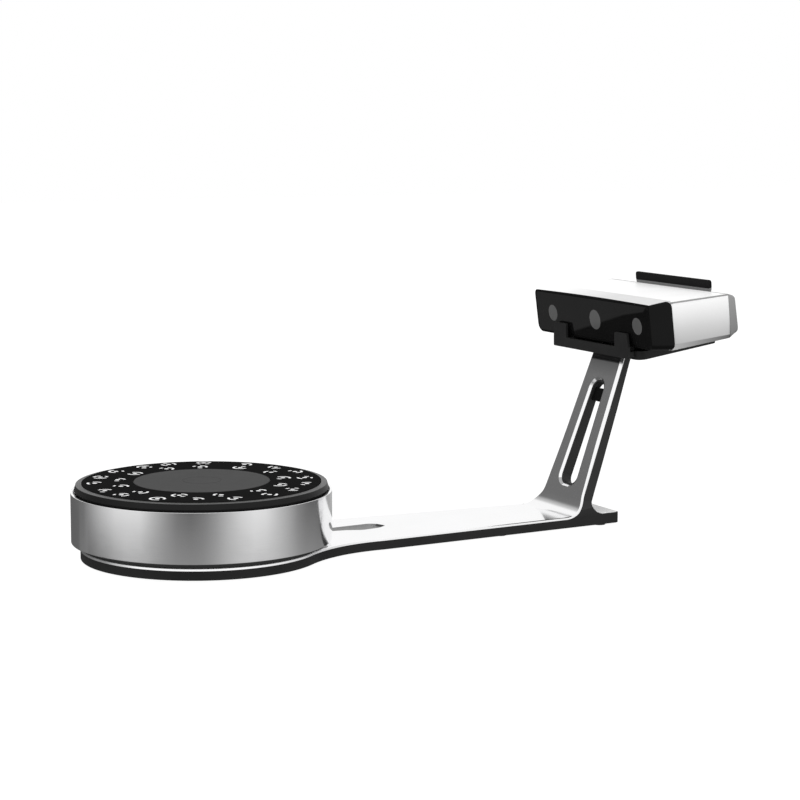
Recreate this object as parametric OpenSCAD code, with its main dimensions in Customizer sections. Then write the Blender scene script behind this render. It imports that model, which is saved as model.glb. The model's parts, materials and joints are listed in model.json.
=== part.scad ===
/* [Turntable] */
// Diameter of the drum under the platter
drum_d = 210; // [206:0.5:214]
// Height of the drum's lower edge above the table
drum_z0 = 15; // [14.5:0.5:15]
// Height of the drum's top edge
drum_z1 = 55.4; // [55.2:0.1:55.5]
// Diameter of the printed marker disc
marker_d = 192.4; // [188:0.2:194]
// Diameter of the rubber centre pad
pad_d = 109.3; // [90:0.1:120]
// Module of the drive gear teeth
gear_m = 1.25; // [1.2:0.05:1.25]

/* [Base and arm] */
// Diameter of the round base under the drum
base_d = 195.4; // [190:0.2:198]
// Half width of the arm at the turntable axis
arm_w0 = 54.1; // [50:0.1:56]
// Narrowing of the arm's half width per millimetre of length
arm_k = 0.051; // [0.045:0.001:0.055]
// Radius of the concave neck between base and arm
neck_r = 110; // [80:1:140]
// Thickness of the rubber feet
foot_h = 1.2; // [1:0.1:2]
// Thickness of the aluminium cover plate
plate_t = 2; // [1.8:0.1:3]
// Length of the tail end of the base from the origin
tail_x = 200.8; // [196:0.1:202]

/* [Upright] */
// Backward lean of the upright from the vertical
lean = 20.3; // [18:0.1:23]
// Inner radius of the bend between arm and upright
bend_r = 20; // [18:1:22]
// Thickness of the black spine behind the aluminium face
spine_t = 7.35; // [6:0.05:8]
// Half width of the slot in the upright at its lower end
slot_w = 13; // [12.8:0.1:13.2]
// Half width of the slot at its upper end
slot_w1 = 10; // [9.8:0.1:10.4]

/* [Scanner head] */
// Downward pitch of the head towards the turntable
pitch = 4.5; // [4.5:0.1:4.6]
// Width of the head
head_w = 181.4; // [180:0.2:186]
// Height of the head at its lid
head_h = 40; // [39.9:0.1:40.2]
// Diameter of the two outer optical windows
win_side_d = 14.2; // [12:0.2:15]
// Diameter of the middle optical window
win_mid_d = 17.2; // [15:0.2:18.5]

/* [Hidden] */
$fn = 96;

tx = -177.8;                       // turntable axis
zt = 10.7;                       // top of the aluminium plate
base_top = zt - plate_t;         // top of the black base
ux = 158.6;                      // where the upright's front plane meets the plate's top
turn = 90 - lean;                // angle of the bend
bx = ux - bend_r * tan(turn / 2);
bz = zt + bend_r;
sb = bend_r * tan(turn / 2);
hx = 194.5;                      // front lower edge of the head
hz = 157.7;
hw = head_w / 2;
front_lean = 3.3;                // lean of the head's front face
gear_n = 80;
pin_n = 16;
centre_dist = gear_m * (gear_n + pin_n) / 2;
mx = tx + centre_dist;           // motor axis
pan_tilt = 2.49;                 // slope of the cradle's underside against the head
slot_s0 = 23.5;
slot_s1 = 120.2;
slot_r = 9;
screw_r = 93;                    // circle of the base screws
eye_y = 67.9;                    // the two cameras, left and right
eye_z = 19.4;
eye_dy = -2.6;                   // the optics sit a little to the right of the middle
rec_x = 84.9;                    // rear face of the head inside its recess
tail_top = 10.9;
rim_w = hw + 1.2;                // half width of the front module at its rear rim
floor_z = -3.5;                  // top of the cradle's tray under the head
// Underside of the head at x
function under(x) = x < 22 ? 0.3 - 0.11 * x : -3 + 0.058 * (x - 22.6);

// Half width of the arm at x
function arm_w(x) = arm_w0 - arm_k * (x - tx);
// Point on the upright: s along the front plane, t behind it, as [x, z]
function fp(s, t) = [ux + sin(lean) * s + cos(lean) * t, zt + cos(lean) * s - sin(lean) * t];
// Half width of the upright
function up_w(s) = s < 0 ? 37 + 0.17 * (-s) : s < 16 ? 37 - 2.8 * s / 16 : 34.2 - 0.0705 * (s - 16);
// Involute of a pressure angle, in degrees
function inv(a) = tan(a) * 180 / PI - a;
// Outline of a spur gear with m module, n teeth and b backlash
function gear_pts(m, n, b) = let(
    rp = m * n / 2, rb = rp * cos(20), ra = rp + m, rr = rp - 1.25 * m, r0 = max(rb, rr),
    half = 90 / n - b / (2 * rp) * 180 / PI + inv(20),
    rs = [for (i = [0:3]) r0 + (ra - r0) * i / 3],
    as = [for (r = rs) half - inv(acos(min(1, rb / r)))])
    [for (k = [0:n - 1]) let(c = 360 * k / n) each concat(
        [[rr * cos(c - half), rr * sin(c - half)]],
        [for (i = [0:3]) [rs[i] * cos(c - as[i]), rs[i] * sin(c - as[i])]],
        [for (i = [3:-1:0]) [rs[i] * cos(c + as[i]), rs[i] * sin(c + as[i])]],
        [[rr * cos(c + half), rr * sin(c + half)]])];

// Extrusion of a side profile drawn in x and z, w wide
module xz(w) rotate([90, 0, 0]) linear_extrude(height = w, center = true) children();
// Frame of the upright: z along it, x behind it
module upr() translate([ux, 0, zt]) rotate([0, lean, 0]) children();
// Plate in the upright's frame, drawn with x = -s and y, from t0 to t1 behind the face
module upr_plate(t0, t1) upr() translate([t0, 0, 0]) rotate([0, 90, 0]) linear_extrude(height = t1 - t0) children();
// Frame of the head: x into its depth, z up through it
module hd() translate([hx, 0, hz]) rotate([0, -pitch, 0]) children();
// Frame of the cradle's underside
module pan_frame() hd() translate([1, 0, -10.8]) rotate([0, -pan_tilt, 0]) children();
module ring(ro, ri, h) difference() { cylinder(r = ro, h = h); translate([0, 0, -1]) cylinder(r = ri, h = h + 2); }
module at_table() translate([tx, 0, 0]) children();
// Rod along the head's depth
module rod_x(r, l, x, y, z) translate([x, y, z]) rotate([0, 90, 0]) cylinder(r = r, h = l);
module block(x0, x1, y0, y1, z0, z1) translate([x0, y0, z0]) cube([x1 - x0, y1 - y0, z1 - z0]);
// Points of an arc about c
function arc(c, r, a0, a1, n) = [for (i = [0:n]) let(a = a0 + (a1 - a0) * i / n) c + r * [cos(a), sin(a)]];
module round_rect(l, w, r) polygon(concat(arc([l / 2 - r, w / 2 - r], r, 0, 90, 8), arc([-l / 2 + r, w / 2 - r], r, 90, 180, 8),
    arc([-l / 2 + r, -w / 2 + r], r, 180, 270, 8), arc([l / 2 - r, -w / 2 + r], r, 270, 360, 8)));

// Plan of the base: the round base, two concave necks and the tapering arm
nn = [arm_k, 1] / sqrt(1 + arm_k * arm_k);
nd = arm_w0 / sqrt(1 + arm_k * arm_k);
nt = [1, -arm_k] / sqrt(1 + arm_k * arm_k);
nr = base_d / 2 + neck_r;
nc = nn * (nd + neck_r) + nt * sqrt(nr * nr - (nd + neck_r) * (nd + neck_r));
tc = [tail_x - tx - 4, arm_w(tail_x - 4) - 4];
a_c = atan2(nc.y, nc.x);
half_plan = concat(arc([0, 0], base_d / 2, 180, a_c, 48), arc(nc, neck_r, a_c - 180, -atan2(1, arm_k), 16),
    arc(tc, 4, atan2(1, arm_k), 0, 6));
module plan2d() translate([tx, 0]) polygon(concat(half_plan, [for (i = [len(half_plan) - 1:-1:1]) [half_plan[i].x, -half_plan[i].y]]));
// Points of the bend at radius r, and of the fillet behind the spine
function bend_pts(r) = arc([bx, bz], r, -90, -lean, 14);
back_t = plate_t + spine_t;
back_s = (tail_top - zt + sin(lean) * back_t) / cos(lean);
back_r = 8;
back_l = back_r / tan(turn / 2);
back_x = fp(back_s, back_t).x + back_l;
back_pts = arc(fp(back_s, back_t) + [back_l, back_r], back_r, 180 - lean, 270, 8);

// Outline of the upright from the front, in x = -s and y
module upright2d() {
    ss = [-40, -4.8, 0, 4, 8, 12, 16, 175];
    polygon(concat([for (s = ss) [-s, up_w(s)]], [for (i = [len(ss) - 1:-1:0]) [-ss[i], -up_w(ss[i])]]));
}
// Slot of the upright, g narrower all round
module slot2d(g = 0) {
    lo = [-slot_s0 - slot_r, slot_w - slot_r];
    hi = [-slot_s1 + slot_r, slot_w1 - slot_r];
    a = atan((lo.y - hi.y) / (lo.x - hi.x));
    h = concat(arc(lo, slot_r - g, 0, 90 + a, 8), arc(hi, slot_r - g, 90 + a, 180, 8));
    polygon(concat(h, [for (i = [len(h) - 1:-1:0]) [h[i].x, -h[i].y]]));
}
// Everything above the cradle's underside
module above_cradle() pan_frame() block(-60, 120, -80, 80, 0, 120);
module base_screw_at() for (a = [18, 90, 150, 210, 270, 342]) at_table() rotate([0, 0, a]) translate([screw_r - (a == 18 || a == 342 ? 4 : 0), 0, 0]) children();
module foot_at() {
    for (a = [45, 135, 225, 315]) at_table() rotate([0, 0, a]) translate([84, 0, 0]) children();
    for (y = [-31, 31]) { translate([82, y, 0]) children(); translate([184, y - sign(y) * 3, 0]) children(); }
}

// ---------- base, arm and upright ----------
module base_frame() color([0.13, 0.13, 0.135]) difference() {
    union() {
        translate([0, 0, foot_h]) linear_extrude(height = base_top - foot_h) plan2d();
        // spine behind the face, with its root in the arm and its fillet to the tail
        intersection() {
            xz(120) polygon(concat([[bx, base_top - 1]], bend_pts(bend_r + plate_t), [fp(175, plate_t), fp(175, back_t)], back_pts,
                [[back_x, base_top - 1]]));
            union() {
                linear_extrude(height = tail_top) plan2d();
                intersection() {
                    upr_plate(-60, 60) upright2d();
                    translate([0, -60, tail_top]) cube([300, 120, 200]);
                }
            }
        }
    }
    above_cradle();
    upr_plate(0, 20) slot2d(0.6);
    // hollow of the round base and of the arm
    translate([0, 0, 3]) difference() {
        union() {
            at_table() cylinder(r = base_d / 2 - 3.2, h = 20);
            translate([tx, -30, 0]) cube([300, 60, 20]);
        }
        base_screw_at() translate([0, 0, -1]) cylinder(r = 4.6, h = 30);
        for (x = [-40, 0, 40, 80, 118]) for (s = [-1, 1]) translate([x, s * 21, 10]) cube([2, 22, 22], center = true);
    }
    // way of the wires to the socket in the tail
    block(118, tail_x - 10.3, -7, 7, 3, 6.4);
    block(tail_x - 10.5, tail_x + 1, -4.6, 4.6, 2.8, 6.4);
    base_screw_at() { cylinder(r = 1.6, h = 20); cylinder(r = 3.2, h = 3.6); }
    cradle_screw_at() translate([0, 0, -5.6]) cylinder(r = 1.6, h = 20);
}
module arm_cover() color([0.9, 0.9, 0.91]) difference() {
    union() {
        intersection() {
            translate([0, 0, base_top]) linear_extrude(height = plate_t) plan2d();
            block(-400, bx, -150, 150, 0, 40);
        }
        intersection() {
            xz(120) polygon(concat(bend_pts(bend_r), [fp(175, 0), fp(175, plate_t)],
                [for (i = [14:-1:0]) bend_pts(bend_r + plate_t)[i]]));
            upr_plate(-60, 60) upright2d();
        }
    }
    above_cradle();
    upr_plate(-1, 20) slot2d(0);
    // shallow groove beside the drum
    translate([0, 0, zt - 1.3]) linear_extrude(height = 5) translate([-53, 3]) round_rect(80, 13, 6.4);
    at_table() cylinder(r = 43, h = 20);
    base_screw_at() cylinder(r = 1.6, h = 20);
}
module tail_cover() color([0.8, 0.8, 0.81]) intersection() {
    translate([0, 0, base_top]) linear_extrude(height = tail_top - base_top) plan2d();
    block(back_x, 260, -80, 80, 0, 20);
}
module foot_pads() color([0.08, 0.08, 0.08]) foot_at() cylinder(r1 = 5.6, r2 = 6, h = foot_h);
module ballast_plate() color([0.55, 0.56, 0.58]) at_table() translate([0, 0, 3]) difference() {
    cylinder(r = 86, h = 4.4);
    translate([0, 0, -1]) cylinder(r = 44, h = 8);
    translate([0, -32, -1]) cube([100, 64, 8]);
}
module base_screws() color([0.5, 0.5, 0.52]) base_screw_at() difference() {
    union() { translate([0, 0, 1.6]) cylinder(r = 2.9, h = 2); translate([0, 0, 3]) cylinder(r = 1.5, h = 14.6); }
    translate([0, 0, 1]) cylinder(r = 1.2, h = 1.6, $fn = 6);
}
// ---------- fixed parts of the turntable ----------
module riser_ring() color([0.05, 0.05, 0.05]) difference() {
    at_table() translate([0, 0, zt]) ring(96, 84, drum_z0 - zt);
    base_screw_at() cylinder(r = 1.6, h = 30);
}
module chassis_plate() color([0.3, 0.3, 0.31]) difference() {
    at_table() translate([0, 0, drum_z0]) cylinder(r = drum_d / 2 - 3.6, h = 3);
    base_screw_at() cylinder(r = 1.6, h = 30);
    translate([tx - 42, -7, 10]) cube([10, 14, 12]);
}
module drum_ring() color([0.72, 0.72, 0.73]) at_table() rotate_extrude($fn = 180)
    polygon([[drum_d / 2 - 3.5, drum_z0], [drum_d / 2 - 0.4, drum_z0], [drum_d / 2, drum_z0 + 0.4], [drum_d / 2, drum_z1 - 0.7],
        [drum_d / 2 - 0.7, drum_z1], [drum_d / 2 - 1.9, drum_z1], [drum_d / 2 - 1.9, drum_z1 - 3], [drum_d / 2 - 3.5, drum_z1 - 5],
        [drum_d / 2 - 3.5, drum_z0 + 7], [drum_d / 2 - 7, drum_z0 + 5], [drum_d / 2 - 7, drum_z0 + 3], [drum_d / 2 - 3.5, drum_z0 + 3]]);
module bearing_housing() color([0.62, 0.62, 0.64]) at_table() difference() {
    union() { translate([0, 0, 18]) cylinder(r = 30, h = 4); translate([0, 0, 18]) cylinder(r = 19, h = 24); }
    translate([0, 0, 20]) cylinder(r = 14, h = 30);
    translate([0, 0, 17]) cylinder(r = 8, h = 10);
}
module bearing(z) at_table() translate([0, 0, z]) difference() {
    cylinder(r = 14, h = 8);
    translate([0, 0, -1]) cylinder(r = 6.03, h = 10);
    for (q = [-0.1, 7.6]) translate([0, 0, q]) ring(12, 8.2, 0.5);
}
module bearing_lower() color([0.7, 0.7, 0.72]) bearing(20);
module bearing_upper() color([0.7, 0.7, 0.72]) bearing(34);
module drive_motor() color([0.25, 0.25, 0.27]) translate([mx, 0, 18]) difference() {
    union() {
        linear_extrude(height = 18) round_rect(35, 35, 3);
        cylinder(r = 11, h = 20);
    }
    translate([0, 0, 2]) cylinder(r = 2.56, h = 30);
    for (i = [-1, 1], j = [-1, 1]) translate([i * 13, j * 13, 12]) cylinder(r = 1.5, h = 10);
}
module motor_mount() color([0.6, 0.6, 0.62]) translate([mx, 0, 0]) difference() {
    union() {
        translate([0, 0, 37]) cube([38, 47, 2], center = true);
        for (s = [-1, 1]) {
            translate([0, s * 22.5, 27]) cube([20, 2, 18], center = true);
            translate([0, s * 27.5, 19]) cube([20, 12, 2], center = true);
        }
    }
    cylinder(r = 11.2, h = 60);
    for (i = [-1, 1], j = [-1, 1]) translate([i * 13, j * 13, 30]) cylinder(r = 1.6, h = 12);
}
module motor_screws() color([0.5, 0.5, 0.52]) translate([mx, 0, 0]) for (i = [-1, 1], j = [-1, 1]) translate([i * 13, j * 13, 0])
    difference() {
        union() { translate([0, 0, 31]) cylinder(r = 1.45, h = 8); translate([0, 0, 38]) cylinder(r = 2.7, h = 2); }
        translate([0, 0, 39]) cylinder(r = 1.2, h = 2, $fn = 6);
    }
module drive_board() color([0.05, 0.3, 0.15]) translate([tx - 62, 0, 24]) difference() {
    union() {
        translate([0, 0, 0.8]) cube([44, 74, 1.6], center = true);
        block(-8, 4, -6, 6, 1.6, 3.2);
        block(-18, -10, 14, 30, 1.6, 8);
        block(8, 14, -32, -14, 1.6, 7.5);
        block(-17, -9, -8, 8, 1.6, 6);
    }
    for (i = [-1, 1], j = [-1, 1]) translate([i * 19, j * 34, -1]) cylinder(r = 1.6, h = 5);
}
module board_standoffs() color([0.75, 0.65, 0.35]) for (i = [-1, 1], j = [-1, 1]) translate([tx - 62 + i * 19, j * 34, 18]) {
    cylinder(r = 2.9, h = 6);
    cylinder(r = 1.4, h = 7.4);
    translate([0, 0, 7.6 - 0.0]) cylinder(r = 2.6, h = 1.6);
    translate([0, 0, 7.4]) cylinder(r = 1.4, h = 0.4);
}
module arm_harness() color([0.1, 0.1, 0.1]) {
    block(tx - 50, tx - 36, -5, 5, 25.6, 26.8);
    block(tx - 37.2, tx - 36, -5, 5, 3.6, 26);
    block(tx - 37, tail_x - 10.6, -5, 5, 3.6, 4.8);
}
module link_socket() color([0.65, 0.65, 0.67]) difference() {
    block(tail_x - 10.3, tail_x - 0.6, -4.5, 4.5, 2.9, 6.2);
    block(tail_x - 6.3, tail_x + 2, -3.6, 3.6, 3.5, 5.6);
}
// ---------- what turns with the platter ----------
module spindle() color([0.7, 0.7, 0.72]) at_table() difference() {
    union() {
        translate([0, 0, 20.5]) cylinder(r = 6, h = 24);
        translate([0, 0, 42.6]) cylinder(r = 12, h = 9.4);
        translate([0, 0, 51]) cylinder(r = 24, h = 5);
    }
    for (a = [0:90:270]) rotate([0, 0, a]) translate([18, 0, 40]) cylinder(r = 1.6, h = 20);
}
module platter() color([0.12, 0.12, 0.12]) at_table() difference() {
    rotate_extrude($fn = 180) polygon([[0, 56], [60, 56], [60, 56.7], [102.4, 56.7], [100.95, 61.3], [96.4, 61.8],
        [0, 61.8]]);
    for (a = [0:90:270]) rotate([0, 0, a]) translate([18, 0, 50]) { cylinder(r = 1.6, h = 20); translate([0, 0, 9.6]) cylinder(r = 3, h = 5); }
    translate([0, 0, 50]) ring(90, 66, 8.8);
}
module platter_screws() color([0.5, 0.5, 0.52]) at_table() for (a = [0:90:270]) rotate([0, 0, a]) translate([18, 0, 0]) difference() {
    union() { translate([0, 0, 45.5]) cylinder(r = 1.5, h = 14.6); translate([0, 0, 59.6]) cylinder(r = 2.8, h = 2); }
    translate([0, 0, 60.6]) cylinder(r = 1.2, h = 2, $fn = 6);
}
module marker_disc() color([0.1, 0.1, 0.1]) at_table() translate([0, 0, 61.8]) ring(marker_d / 2, pad_d / 2 + 0.2, 0.6);
module centre_pad() color([0.2, 0.2, 0.2]) at_table() difference() {
    translate([0, 0, 61.8]) cylinder(r = pad_d / 2, h = 0.9);
    translate([0, 0, 62.4]) ring(16.2, 15.2, 1);
}
module drive_gear() color([0.92, 0.9, 0.82]) at_table() translate([0, 0, 45]) difference() {
    linear_extrude(height = 6) polygon(gear_pts(gear_m, gear_n, 0.25));
    translate([0, 0, -1]) cylinder(r = 12.05, h = 8);
    for (a = [0:90:270]) rotate([0, 0, a]) translate([18, 0, -1]) cylinder(r = 1.6, h = 20);
    for (a = [30:60:330]) rotate([0, 0, a]) translate([34, 0, -1]) cylinder(r = 8, h = 20);
}
module pinion() color([0.75, 0.65, 0.35]) translate([mx, 0, 44.4]) rotate([0, 0, 180 / pin_n]) difference() {
    linear_extrude(height = 7) polygon(gear_pts(gear_m, pin_n, 0.25));
    translate([0, 0, -1]) cylinder(r = 2.5, h = 9);
}
module motor_shaft() color([0.7, 0.7, 0.72]) translate([mx, 0, 21]) cylinder(r = 2.5, h = 30.4);
// ---------- cradle ----------
module cradle_screw_at() pan_frame() for (y = [-15, 15]) translate([18.6, y, 0]) children();
// Plan of the cradle's tray, tapering to the back
module tray2d(g = 0) {
    b = 6.06;
    h = concat(arc([10, 58], 8 - g, 180, 90 + b - 2 * b, 10), [[86.5 - g, 58 + (8 - g) / cos(b) - (76.5 - g) * tan(b)]]);
    polygon(concat(h, [for (i = [len(h) - 1:-1:0]) [h[i].x, -h[i].y]]));
}
module cradle() color([0.14, 0.14, 0.145]) difference() {
    union() {
        // tray under the head, cut level below the head's underside
        intersection() {
            pan_frame() linear_extrude(height = 30) tray2d();
            hd() block(-10, 100, -80, 80, -20, floor_z);
        }
        hd() block(-3.5, 6, -59, 59, -8.2, floor_z - 0.2);
        // front plate with its two prongs
        hd() translate([-4.4, 0, 12.3]) rotate([0, 2.5, 0]) translate([0, 0, -12.3]) rotate([90, 0, 90]) linear_extrude(height = 2.7)
            polygon([[-59.5, -8.5], [59.5, -8.5], [60.5, -7.5], [60.1, 1], [58.6, 10.5], [57.2, 12.3], [40.4, 12.3], [38.8, 10.7], [39.2, -0.4],
                [-39.2, -0.4], [-38.8, 10.7], [-40.4, 12.3], [-57.2, 12.3], [-58.6, 10.5], [-60.1, 1], [-60.5, -7.5]]);
        // back plate with the rail above the head
        hd() translate([85.3, 0, 0]) rotate([90, 0, 90]) linear_extrude(height = 3) difference() {
            polygon(concat([[57.8, -6.8]], arc([54.8, 45], 3, 0, 90, 6), arc([-54.8, 45], 3, 90, 180, 6), [[-57.8, -6.8]]));
            translate([0, 17]) round_rect(98, 30, 4);
        }
    }
    pan_frame() translate([0, 0, 3]) linear_extrude(height = 30) difference() {
        tray2d(3);
        translate([86, 0]) square([12, 140], center = true);
        translate([0, 0]) square([14, 140], center = true);
        for (y = [-36, 36]) translate([45, y]) square([90, 3], center = true);
    }
    cradle_screw_at() translate([0, 0, -1]) cylinder(r = 1.8, h = 10);
}
module cradle_pads() color([0.06, 0.06, 0.06]) hd() for (x = [1.2, 70], y = [-1, 1]) translate([0, y * 45, 0])
    xz(18) polygon([[x, floor_z], [x + 4.6, floor_z], [x + 4.6, under(x + 4.6) - 0.02], [x, under(x) - 0.02]]);
module cradle_screws() color([0.5, 0.5, 0.52]) cradle_screw_at() difference() {
    union() { translate([0, 0, -5.4]) cylinder(r = 1.5, h = 8.9); translate([0, 0, 3]) cylinder(r = 3, h = 2); }
    translate([0, 0, 4]) cylinder(r = 1.3, h = 2, $fn = 6);
}
module cable_clip() color([0.06, 0.06, 0.06]) difference() {
    union() {
        upr_plate(4.2, 9.5) intersection() { slot2d(0.7); translate([-117.8, -20]) square([16.3, 40]); }
        upr() block(9.4, 10.9, -9, 9, 103, 116);
    }
    upr() translate([4.6, -4, 90]) cylinder(r = 2.4, h = 40);
    upr() block(0, 4.6, -5.6, -2.4, 90, 130);
}
// ---------- scanner head ----------
module head_screw_at() for (x = [30, 72], y = [-74, 74]) translate([x, y, 0]) children();
module head_shell() color([0.88, 0.88, 0.89]) hd() difference() {
    intersection() {
        xz(head_w) polygon([[22.75, under(22.75)], [81.3, under(81.3)], [79.45, 38.15], [20.95, 37.15]]);
        translate([21.6, 0, under(21.6)]) rotate([0, -atan(0.058), 0]) translate([-5, 0, 0]) rotate([90, 0, 90]) linear_extrude(height = 70)
            polygon([[-hw + 3, 0], [hw - 3, 0], [hw, 4.6], [hw, 60], [-hw, 60], [-hw, 4.6]]);
    }
    rotate([90, 0, 90]) linear_extrude(height = 100)
        polygon([[-hw + 5.2, 2.2], [hw - 5.2, 2.2], [hw - 2.2, 5.2], [hw - 2.2, 50], [-hw + 2.2, 50], [-hw + 2.2, 5.2]]);
    translate([50, 0, -5]) cylinder(r = 5.05, h = 9);
    head_screw_at() { translate([0, 0, -5]) cylinder(r = 1.6, h = 9); translate([0, 0, -5]) cylinder(r = 3, h = 5.9); }
}
module head_lid() color([0.95, 0.95, 0.95]) hd() difference() {
    union() {
        xz(head_w) polygon([[20.95, 37.16], [20.9, head_h], [79.35, head_h - 0.6], [79.45, 38.16]]);
        // sloping strip over the front module
        xz(head_w - 1.4) polygon([[-1.5, 38.05], [-1.56, head_h - 0.85], [20.6, head_h + 0.35], [21.3, head_h + 0.2], [21.3, 38.05]]);
    }
    block(25, 76, -hw + 3, hw - 3, 36, 38.4);
}
module head_bezel() color([0.06, 0.06, 0.065]) hd() difference() {
    intersection() {
        xz(2 * rim_w) polygon([[0, under(0)], [20.4, under(20.4)], [22.35, -0.4], [22.48, 1.6], [21, 34], [20.6, 36.6], [19.6, 38.6],
            [18.2, 39.7], [16.2, head_h + 0.2], [-2.25, head_h - 0.95]]);
        translate([0, 0, -10]) linear_extrude(height = 60) polygon([[-4, hw - 0.2], [0, hw], [24, rim_w], [24, -rim_w], [0, -hw], [-4, -hw + 0.2]]);
        rotate([90, 0, 90]) translate([0, 0, -10]) linear_extrude(height = 40)
            polygon([[-hw + 2.6, -5], [hw - 2.6, -5], [rim_w + 4, 8], [rim_w + 4, 60], [-rim_w - 4, 60], [-rim_w - 4, 8]]);
    }
    // seat of the lid's strip
    block(-1.6, 30, -hw + 0.6, hw - 0.6, 38, 60);
    rotate([0, -front_lean, 0]) block(-1, 2.2, -hw + 1.5, hw - 1.5, 1.9, 37.6);
    block(-5, 17, -hw + 4, hw - 4, 4, 33.6);
    block(16, 24, -hw + 4, hw - 4, 4, 34);
}
module front_window() color([0.04, 0.04, 0.045]) hd() rotate([0, -front_lean, 0]) difference() {
    block(0, 2, -hw + 1.6, hw - 1.6, 2, 37.5);
    for (m = [-1, 1]) rod_x(win_side_d / 2, 4, -1, m * eye_y + eye_dy, eye_z);
    rod_x(win_mid_d / 2, 4, -1, eye_dy, eye_z);
}
module window_side() color([0.4, 0.4, 0.42]) hd() rotate([0, -front_lean, 0]) for (m = [-1, 1])
    rod_x(win_side_d / 2 - 0.05, 1.5, 0.3, m * eye_y + eye_dy, eye_z);
module window_middle() color([0.4, 0.4, 0.42]) hd() rotate([0, -front_lean, 0]) rod_x(win_mid_d / 2 - 0.05, 1.5, 0.3, eye_dy, eye_z);
module optical_bench() color([0.65, 0.66, 0.68]) hd() difference() {
    block(23, 68, -84, 80, 2.2, 5.2);
    translate([50, 0, 0]) cylinder(r = 5.05, h = 8);
    head_screw_at() cylinder(r = 1.6, h = 8);
}
module camera(y) hd() difference() {
    union() {
        block(26, 46, y - 13, y + 13, 5.2, 30.8);
        block(46, 50, y - 8, y + 8, 9, 20);
    }
    rod_x(7.05, 4, 25, y, eye_z);
}
module camera_left() color([0.2, 0.2, 0.21]) camera(eye_dy - eye_y);
module camera_right() color([0.2, 0.2, 0.21]) camera(eye_dy + eye_y);
module lens(y, r, x1) hd() difference() {
    union() { rod_x(r, x1 - 6, 6, y, eye_z); rod_x(r + 1, 6, 12, y, eye_z); }
    rod_x(r - 1.6, 3, 5, y, eye_z);
}
module lens_left() color([0.08, 0.08, 0.08]) lens(eye_dy - eye_y, 7, 29);
module lens_right() color([0.08, 0.08, 0.08]) lens(eye_dy + eye_y, 7, 29);
module projector() color([0.3, 0.3, 0.32]) hd() difference() {
    block(30, 60, eye_dy - 26, eye_dy + 26, 5.2, 30.8);
    rod_x(9.05, 4, 29, eye_dy, eye_z);
    translate([50, 0, 4]) cylinder(r = 6, h = 5);
}
module projector_lens() color([0.08, 0.08, 0.08]) lens(eye_dy, 9, 33);
module heat_sink() color([0.7, 0.7, 0.72]) hd() {
    block(60, 62, -22, 22, 7, 30);
    for (i = [0:10]) block(62, 69.5, -21.6 + i * 4.2, -20.4 + i * 4.2, 7, 30);
}
module fan_frame() color([0.1, 0.1, 0.1]) hd() difference() {
    block(71, 79, -15, 15, 3.8, 33.8);
    rod_x(13.7, 6, 74, 0, eye_z);
    difference() { rod_x(13.7, 5, 70, 0, eye_z); rod_x(5.5, 10, 68, 0, eye_z);
        for (a = [0:60:300]) translate([72, 0, eye_z]) rotate([a, 0, 0]) cube([4, 2, 60], center = true); }
    rod_x(1.54, 6, 70, 0, eye_z);
}
module fan_rotor() color([0.15, 0.15, 0.15]) hd() translate([74.4, 0, eye_z]) {
    rotate([0, 90, 0]) cylinder(r = 5.5, h = 4.2);
    translate([-2.8, 0, 0]) rotate([0, 90, 0]) cylinder(r = 1.5, h = 3);
    for (a = [0:360 / 7:359]) rotate([a, 0, 0]) translate([2.1, 0, 8.6]) rotate([0, 0, 32]) cube([4.2, 1, 8], center = true);
}
module main_board() color([0.05, 0.3, 0.15]) hd() union() {
    block(24, 69, -80, 80, 31.6, 33.2);
    block(36, 50, -50, -36, 33.2, 35);
    block(30, 42, 34, 46, 33.2, 35);
    block(54, 62, -20, 8, 33.2, 35.4);
    block(58, 66, 50, 66, 33.2, 35.4);
}
module rear_cap() color([0.6, 0.6, 0.61]) hd() difference() {
    intersection() {
        xz(head_w) polygon([[81.35, 0.6], [82.8, 1.3], [88.1, 5], [88.7, 7.4], [87.3, 35.6], [86.4, 37.2], [79.45, head_h - 0.6]]);
        translate([75, 0, 0]) rotate([90, 0, 90]) linear_extrude(height = 20)
            polygon([[-hw + 3.4, 0], [hw - 3.4, 0], [hw, 5], [hw, 60], [-hw, 60], [-hw, 5]]);
    }
    // recess that takes the cradle's back plate
    block(rec_x, 95, -58.6, 58.6, -2, 60);
    // inside of the cap
    block(78, 82.4, -hw + 3, hw - 3, 5, 34);
    // air slots
    for (i = [0:6]) block(80, 90, -13 + i * 4.2, -10.8 + i * 4.2, 8, 30);
    rod_x(4.05, 20, 75, -30, 16);
    block(75, 95, 24, 34.4, 11.6, 20.4);
    block(75, 95, 38.6, 49.4, 11.6, 20.4);
    rod_x(4.3, 20, 75, -74, 19);
}
module dc_jack() color([0.08, 0.08, 0.08]) hd() difference() {
    union() { rod_x(4, 14, 70.6, -30, 16); block(70.6, 82, -35, -25, 8, 21.4); }
    difference() { rod_x(3, 12, 74, -30, 16); rod_x(1, 20, 70, -30, 16); }
}
module data_ports() color([0.66, 0.66, 0.68]) hd() for (y = [24.2, 38.8]) difference() {
    block(70.6, 84.6, y, y + 10, 11.8, 20.2);
    block(76, 90, y + 0.8, y + 9.2, 12.6, 19.4);
}
module button_switch() color([0.5, 0.5, 0.52]) hd() { block(72, 77.2, -79, -69, 14, 24); rod_x(1.6, 2, 77.2, -74, 19); }
module power_button() color([0.75, 0.75, 0.76]) hd() {
    rod_x(4, 7.6, 81.4, -74, 19);
    rod_x(5.2, 0.8, 81.4, -74, 19);
    rod_x(1.2, 0.8, 80.8, -74, 19);
}
module tripod_insert() color([0.75, 0.62, 0.3]) hd() translate([50, 0, 0]) difference() {
    cylinder(r = 5, h = 7.8);
    translate([0, 0, -1]) cylinder(r = 2.55, h = 7.8);
}
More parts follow.
